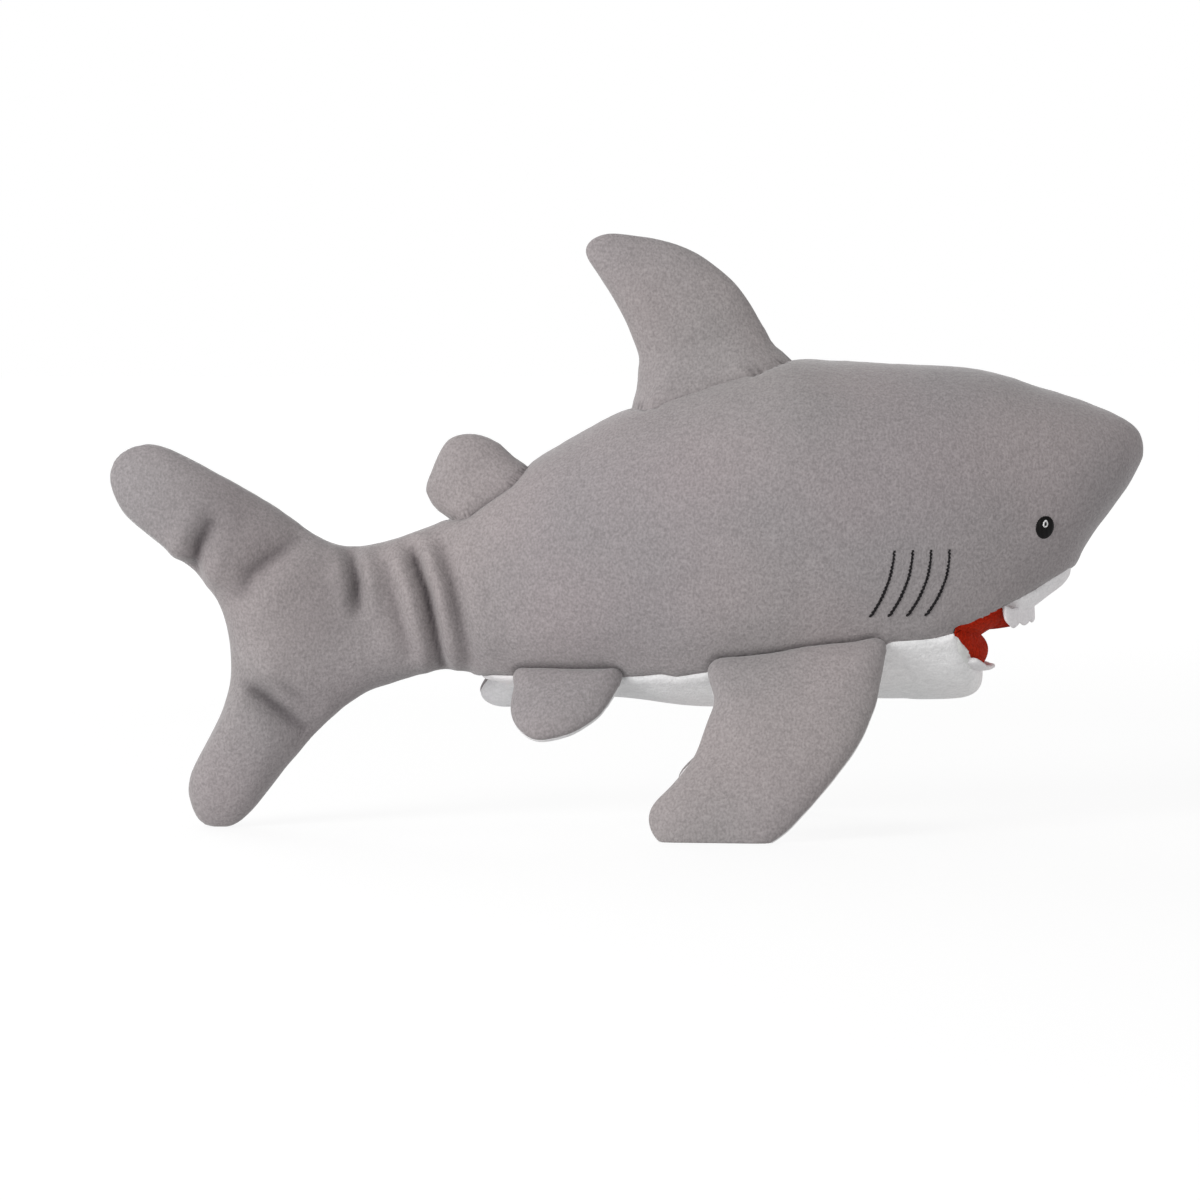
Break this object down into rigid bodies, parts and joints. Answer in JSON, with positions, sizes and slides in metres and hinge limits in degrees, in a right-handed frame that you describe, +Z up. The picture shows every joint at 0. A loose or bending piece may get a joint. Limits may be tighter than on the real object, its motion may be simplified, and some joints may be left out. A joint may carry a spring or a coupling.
{
  "type": "plush shark",
  "caption": "Small stuffed toy shark with an open red mouth, felt teeth, jointed tail, fins and lower jaw, resting on its front fins and tail.",
  "frame": {"origin": "centre of the bounding box's base, on the surface that the fins and the tail rest on", "axes": "+X along the body towards the nose, +Y to the shark's left side, +Z up"},
  "size_m": [0.2064, 0.0771, 0.1186],
  "materials": {
    "grey_pile": "short dense pile, soft warm grey",
    "white_pile": "short dense pile, off-white",
    "red_fleece": "matt brushed fleece, deep red",
    "white_felt": "pressed felt, off-white",
    "black_embroidery": "satin stitch, black",
    "white_embroidery": "satin stitch, white",
    "dark_thread": "satin thread, charcoal",
    "sewing_thread": "polyester thread, pale grey",
    "fibre": "loose polyester fibre, white"
  },
  "bodies": {
    "body": {"side_panel_right": "grey_pile", "side_panel_left": "grey_pile", "belly_panel": "white_pile", "snout_underside": "white_pile", "palate_lining": "red_fleece", "upper_teeth": "white_felt", "eye_right": "black_embroidery", "eye_left": "black_embroidery", "eye_glint_right": "white_embroidery", "eye_glint_left": "white_embroidery", "gill_stitches_right": "dark_thread", "gill_stitches_left": "dark_thread", "back_seam_thread": "sewing_thread", "belly_seam_thread_right": "sewing_thread", "belly_seam_thread_left": "sewing_thread", "closing_stitch": "sewing_thread", "body_filling": "fibre"},
    "jaw": {"chin_panel": "white_pile", "jaw_lining": "red_fleece", "lower_teeth": "white_felt", "jaw_filling": "fibre"},
    "tail": {"tail_panel_right": "grey_pile", "tail_panel_left": "grey_pile", "tail_filling": "fibre"},
    "dorsal_fin": {"dorsal_fin_right_face": "grey_pile", "dorsal_fin_left_face": "grey_pile", "dorsal_fin_filling": "fibre"},
    "second_dorsal_fin": {"second_dorsal_right_face": "grey_pile", "second_dorsal_left_face": "grey_pile", "second_dorsal_filling": "fibre"},
    "pectoral_fin_right": {"pectoral_right_outer": "grey_pile", "pectoral_right_under": "white_pile", "pectoral_right_filling": "fibre"},
    "pectoral_fin_left": {"pectoral_left_outer": "grey_pile", "pectoral_left_under": "white_pile", "pectoral_left_filling": "fibre"},
    "pelvic_fin_right": {"pelvic_right_outer": "grey_pile", "pelvic_right_under": "white_pile", "pelvic_right_filling": "fibre"},
    "pelvic_fin_left": {"pelvic_left_outer": "grey_pile", "pelvic_left_under": "white_pile", "pelvic_left_filling": "fibre"}
  },
  "joints": [
    {"name": "tail_swing", "type": "hinge", "parent": "body", "child": "tail", "pos_m": [-0.046, 0, 0.044], "axis": [0, 0, 1], "range_deg": [-35, 35], "stiffness_Nm_per_rad": 0.12},
    {"name": "jaw_hinge", "type": "hinge", "parent": "body", "child": "jaw", "pos_m": [0.0645, 0, 0.04], "axis": [0, 1, 0], "range_deg": [-10, 12], "stiffness_Nm_per_rad": 0.05},
    {"name": "dorsal_lean", "type": "hinge", "parent": "body", "child": "dorsal_fin", "pos_m": [0, 0, 0.0846], "axis": [0.9543, 0, 0.299], "range_deg": [-30, 30], "stiffness_Nm_per_rad": 0.04},
    {"name": "second_dorsal_lean", "type": "hinge", "parent": "body", "child": "second_dorsal_fin", "pos_m": [-0.0368, 0, 0.0622], "axis": [0.8399, 0, 0.5428], "range_deg": [-30, 30], "stiffness_Nm_per_rad": 0.02},
    {"name": "pectoral_flap_right", "type": "hinge", "parent": "body", "child": "pectoral_fin_right", "pos_m": [0.0166, -0.02007, 0.03323], "axis": [-0.9887, 0.0544, -0.1398], "range_deg": [-8, 60], "stiffness_Nm_per_rad": 0.12},
    {"name": "pectoral_flap_left", "type": "hinge", "parent": "body", "child": "pectoral_fin_left", "pos_m": [0.0166, 0.02007, 0.03323], "axis": [0.9887, 0.0544, 0.1398], "range_deg": [-8, 60], "stiffness_Nm_per_rad": 0.12},
    {"name": "pelvic_flap_right", "type": "hinge", "parent": "body", "child": "pelvic_fin_right", "pos_m": [-0.0218, -0.01018, 0.03069], "axis": [-0.9767, 0.2146, -0.0005], "range_deg": [-10, 45], "stiffness_Nm_per_rad": 0.02},
    {"name": "pelvic_flap_left", "type": "hinge", "parent": "body", "child": "pelvic_fin_left", "pos_m": [-0.0243, 0.0092, 0.03073], "axis": [0.971, 0.239, -0.0057], "range_deg": [-10, 35], "stiffness_Nm_per_rad": 0.02}
  ]
}
